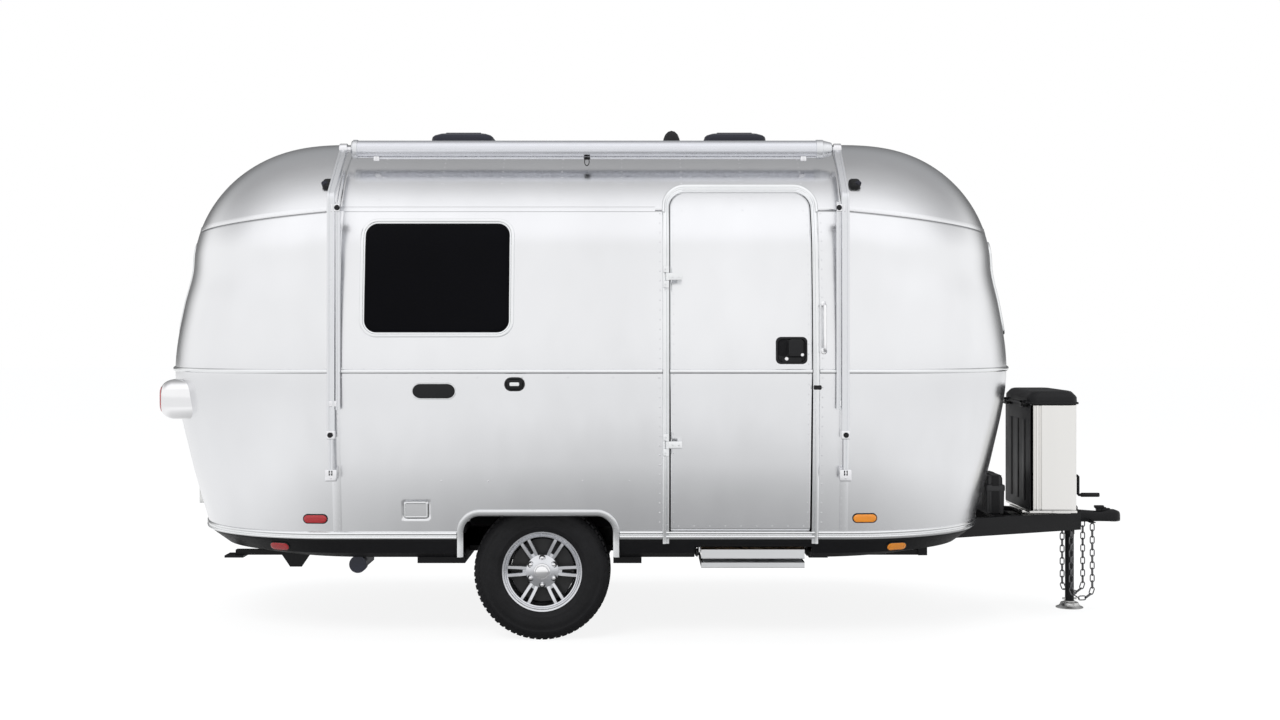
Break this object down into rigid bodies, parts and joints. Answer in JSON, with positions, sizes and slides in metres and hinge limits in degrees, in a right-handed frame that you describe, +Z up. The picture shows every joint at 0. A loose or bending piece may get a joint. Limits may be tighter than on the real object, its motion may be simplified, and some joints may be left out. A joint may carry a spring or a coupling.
{
  "type": "travel caravan",
  "caption": "Riveted aluminium travel caravan with rounded ends, single axle, side door, stowed awning, A-frame tongue and jack.",
  "frame": {"origin": "on the ground in the middle of the overall length, on the centre plane", "axes": "+X forward towards the coupler, +Y to the left (street side), +Z up"},
  "size_m": [5.396, 2.376, 2.757],
  "materials": {
    "polished_aluminium": "polished",
    "bright_trim": "polished",
    "black_frame": "satin",
    "black_plastic": "matte",
    "tyre_rubber": "matte",
    "wheel_alloy": "satin",
    "dark_glass": "gloss",
    "lamp_plastic": "gloss",
    "roller_metal": "satin",
    "zinc_steel": "satin",
    "floor_wood": "satin",
    "plate_white": "satin"
  },
  "bodies": {
    "caravan": {"side_curb": "polished_aluminium", "side_street": "polished_aluminium", "roof_panel": "polished_aluminium", "dome_front": "polished_aluminium", "dome_rear": "polished_aluminium", "end_front": "polished_aluminium", "end_rear": "polished_aluminium", "floor_deck": "floor_wood", "belly_pan": "black_plastic", "chassis_frame": "black_frame", "base_rail": "bright_trim", "belt_rail": "bright_trim", "wheel_boxes": "black_plastic", "arch_trims": "bright_trim", "window_frames": "bright_trim", "window_glass": "dark_glass", "door_frame": "bright_trim", "grab_handle": "bright_trim", "awning_roller": "roller_metal", "awning_arms": "roller_metal", "roof_vents": "black_plastic", "roof_aerial": "black_plastic", "clearance_lamps": "black_plastic", "tail_lamps": "bright_trim", "side_markers": "lamp_plastic", "side_fittings": "black_plastic", "number_plate": "plate_white", "axle": "black_frame", "step_frame": "bright_trim", "leg_brackets": "black_frame", "skid_plates": "black_frame", "waste_outlet": "black_plastic", "battery_box": "black_plastic", "gas_cover": "polished_aluminium", "jack_tube": "black_frame", "coupler": "black_frame", "safety_chains": "zinc_steel"},
    "wheel_curb": {"tyre_curb": "tyre_rubber", "rim_curb": "wheel_alloy"},
    "wheel_street": {"tyre_street": "tyre_rubber", "rim_street": "wheel_alloy"},
    "door": {"door_panel": "polished_aluminium", "door_handle": "black_plastic"},
    "hatch_curb": {"hatch_curb": "polished_aluminium"},
    "hatch_street": {"hatch_street": "polished_aluminium"},
    "gas_lid": {"gas_lid": "black_plastic"},
    "jack_leg": {"jack_leg": "black_frame"},
    "step_arms": {"step_arms": "black_frame"},
    "step_tread": {"step_tread": "bright_trim"},
    "leg_front_curb": {"leg_front_curb": "black_frame"},
    "leg_front_street": {"leg_front_street": "black_frame"},
    "leg_rear_curb": {"leg_rear_curb": "black_frame"},
    "leg_rear_street": {"leg_rear_street": "black_frame"}
  },
  "joints": [
    {"name": "wheel_spin_curb", "type": "hinge", "parent": "caravan", "child": "wheel_curb", "pos_m": [-0.583, -0.905, 0.354], "axis": [0, 1, 0], "continuous": true},
    {"name": "wheel_spin_street", "type": "hinge", "parent": "caravan", "child": "wheel_street", "pos_m": [-0.583, 0.905, 0.354], "axis": [0, 1, 0], "continuous": true},
    {"name": "door_swing", "type": "hinge", "parent": "caravan", "child": "door", "pos_m": [0.062, -1.184, 1.45], "axis": [0, 0, -1], "range_deg": [0, 165]},
    {"name": "hatch_lift_curb", "type": "hinge", "parent": "caravan", "child": "hatch_curb", "pos_m": [-1.22, -1.10539, 0.723], "axis": [-1, 0, 0], "range_deg": [0, 100]},
    {"name": "hatch_lift_street", "type": "hinge", "parent": "caravan", "child": "hatch_street", "pos_m": [-1.18, 1.1265, 0.906], "axis": [1, 0, 0], "range_deg": [0, 100]},
    {"name": "gas_lid_lift", "type": "hinge", "parent": "caravan", "child": "gas_lid", "pos_m": [2.083, 0, 1.175], "axis": [0, -1, 0], "range_deg": [0, 75]},
    {"name": "jack_raise", "type": "slide", "parent": "caravan", "child": "jack_leg", "axis": [0, 0, 1], "range_m": [0, 0.25]},
    {"name": "step_swing", "type": "hinge", "parent": "caravan", "child": "step_arms", "pos_m": [0.504, -0.86, 0.45], "axis": [-1, 0, 0], "range_deg": [0, 105]},
    {"name": "step_level", "type": "hinge", "parent": "step_arms", "child": "step_tread", "pos_m": [0.504, -0.67647, 0.40082], "axis": [-1, 0, 0], "range_deg": [-105, 0]},
    {"name": "leg_swing_front_curb", "type": "hinge", "parent": "caravan", "child": "leg_front_curb", "pos_m": [1.44, -0.64, 0.412], "axis": [0, -1, 0], "range_deg": [0, 38]},
    {"name": "leg_swing_front_street", "type": "hinge", "parent": "caravan", "child": "leg_front_street", "pos_m": [1.44, 0.64, 0.412], "axis": [0, -1, 0], "range_deg": [0, 38]},
    {"name": "leg_swing_rear_curb", "type": "hinge", "parent": "caravan", "child": "leg_rear_curb", "pos_m": [-1.69, -0.64, 0.412], "axis": [0, -1, 0], "range_deg": [0, 38]},
    {"name": "leg_swing_rear_street", "type": "hinge", "parent": "caravan", "child": "leg_rear_street", "pos_m": [-1.69, 0.64, 0.412], "axis": [0, -1, 0], "range_deg": [0, 38]}
  ],
  "couplings": [
    {"joint": "step_level", "follows": "step_swing", "ratio": -1}
  ]
}
